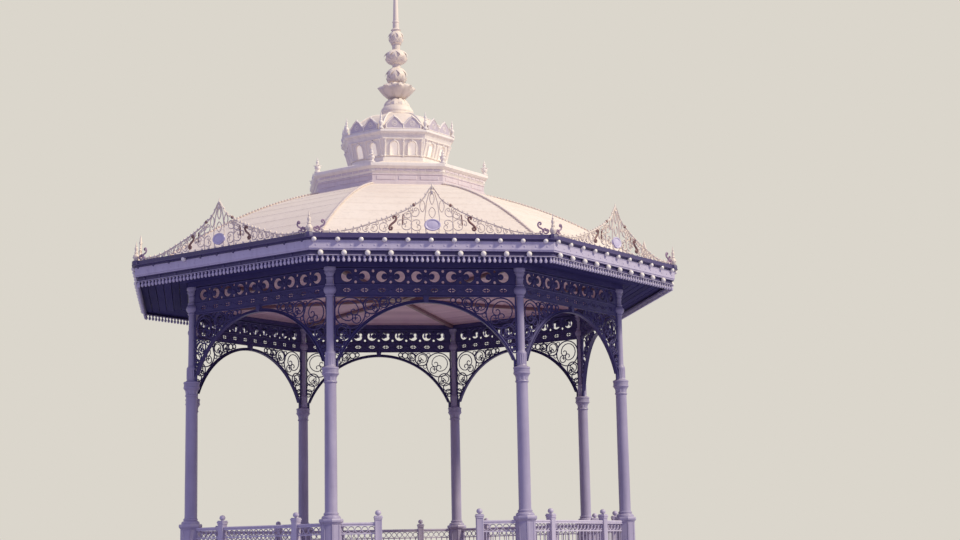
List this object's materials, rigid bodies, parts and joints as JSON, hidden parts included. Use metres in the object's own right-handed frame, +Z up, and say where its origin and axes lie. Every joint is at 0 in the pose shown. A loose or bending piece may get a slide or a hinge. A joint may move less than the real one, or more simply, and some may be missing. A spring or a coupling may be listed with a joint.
{
  "type": "octagonal bandstand",
  "caption": "Open octagonal iron bandstand on a masonry base, with arched panels between columns, wide eaves with cresting, a bulged roof, a lantern and a spire.",
  "frame": {"origin": "middle of the octagon, at ground level", "axes": "+Z up; the front bay with the steps faces -Y; +X to the right as seen from the front"},
  "size_m": [9.2942, 10.7514, 12.51],
  "materials": {
    "painted_iron": "satin paint, pale lilac grey",
    "painted_sheet": "satin paint, cream white",
    "ceiling_boards": "satin stain, reddish brown",
    "soffit_boards": "matt paint, dark violet brown",
    "masonry": "matt render",
    "coping_stone": "matt dressed stone",
    "deck_paving": "matt tiles",
    "scroll_iron": "satin paint, umber brown",
    "lamp_glass": "opal glass"
  },
  "bodies": {
    "root": {"base_wall": "masonry", "coping": "coping_stone", "deck": "deck_paving", "entry_steps": "coping_stone", "step_cheeks": "masonry", "column_1": "painted_iron", "column_2": "painted_iron", "column_3": "painted_iron", "column_4": "painted_iron", "column_5": "painted_iron", "column_6": "painted_iron", "column_7": "painted_iron", "column_8": "painted_iron", "arch_panel_1": "painted_iron", "arch_panel_2": "painted_iron", "arch_panel_3": "painted_iron", "arch_panel_4": "painted_iron", "arch_panel_5": "painted_iron", "arch_panel_6": "painted_iron", "arch_panel_7": "painted_iron", "arch_panel_8": "painted_iron", "railing_1": "painted_iron", "railing_2": "painted_iron", "railing_3": "painted_iron", "railing_4": "painted_iron", "railing_5": "painted_iron", "railing_6": "painted_iron", "railing_7": "painted_iron", "railing_8": "painted_iron", "ring_beam": "painted_iron", "ceiling": "ceiling_boards", "soffit": "soffit_boards", "fascia": "painted_iron", "eaves_cornice": "painted_iron", "cresting": "painted_iron", "roof_sheets": "painted_sheet", "hip_battens": "painted_iron", "drum_wall": "painted_iron", "drum_cornice": "painted_iron", "drum_roof": "painted_sheet", "lantern_arcade": "painted_iron", "lantern_cornice": "painted_iron", "lantern_roof": "painted_sheet", "lantern_crests": "painted_iron", "spire": "painted_sheet"}
  },
  "joints": []
}
